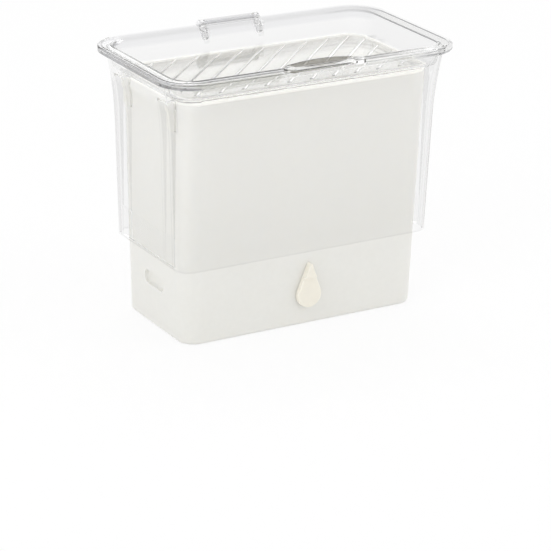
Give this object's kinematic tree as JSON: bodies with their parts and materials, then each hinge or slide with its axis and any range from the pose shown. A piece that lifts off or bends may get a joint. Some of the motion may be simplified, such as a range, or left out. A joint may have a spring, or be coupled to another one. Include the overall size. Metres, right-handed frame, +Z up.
{
  "type": "herb keeper",
  "caption": "Tapered water tank with a clear telescoping sleeve, a hinged tray lid with slanting ribs, a drop-shaped drain plug and lift-out dividers, for fresh herbs.",
  "frame": {"origin": "centre of the tank's flat foot, on the surface that the keeper stands on", "axes": "+Z up, X along the long side, -Y towards the front with the drain plug, +Y towards the hinge"},
  "size_m": [0.24, 0.1462, 0.207],
  "materials": {
    "tank_plastic": "warm white translucent polypropylene, satin",
    "clear_plastic": "clear polished plastic",
    "pin_plastic": "frosted clear plastic rod",
    "silicone": "cream silicone, matt",
    "divider_plastic": "white polypropylene, satin"
  },
  "bodies": {
    "tank_body": {"tank": "tank_plastic", "guide_pad_front_left": "silicone", "guide_pad_back_left": "silicone", "guide_pad_front_right": "silicone", "guide_pad_back_right": "silicone"},
    "sleeve_body": {"clear_sleeve": "clear_plastic", "stop_plate_left": "clear_plastic", "stop_plate_right": "clear_plastic", "hinge_pin": "pin_plastic"},
    "lid_body": {"lid": "clear_plastic"},
    "plug_body": {"drain_plug": "silicone"},
    "left_divider_body": {"divider_left": "divider_plastic"},
    "right_divider_body": {"divider_right": "divider_plastic"}
  },
  "joints": [
    {"name": "sleeve_slide", "type": "slide", "parent": "tank_body", "child": "sleeve_body", "axis": [0, 0, 1], "range_m": [0, 0.078]},
    {"name": "lid_hinge", "type": "hinge", "parent": "sleeve_body", "child": "lid_body", "pos_m": [0, 0.07003, 0.2021], "axis": [-1, 0, 0], "range_deg": [0, 100]},
    {"name": "plug_pull", "type": "slide", "parent": "tank_body", "child": "plug_body", "axis": [0, -1, 0], "range_m": [0, 0.015]},
    {"name": "left_divider_lift", "type": "slide", "parent": "tank_body", "child": "left_divider_body", "axis": [0, 0, 1], "range_m": [0, 0.025]},
    {"name": "right_divider_lift", "type": "slide", "parent": "tank_body", "child": "right_divider_body", "axis": [0, 0, 1], "range_m": [0, 0.025]}
  ]
}
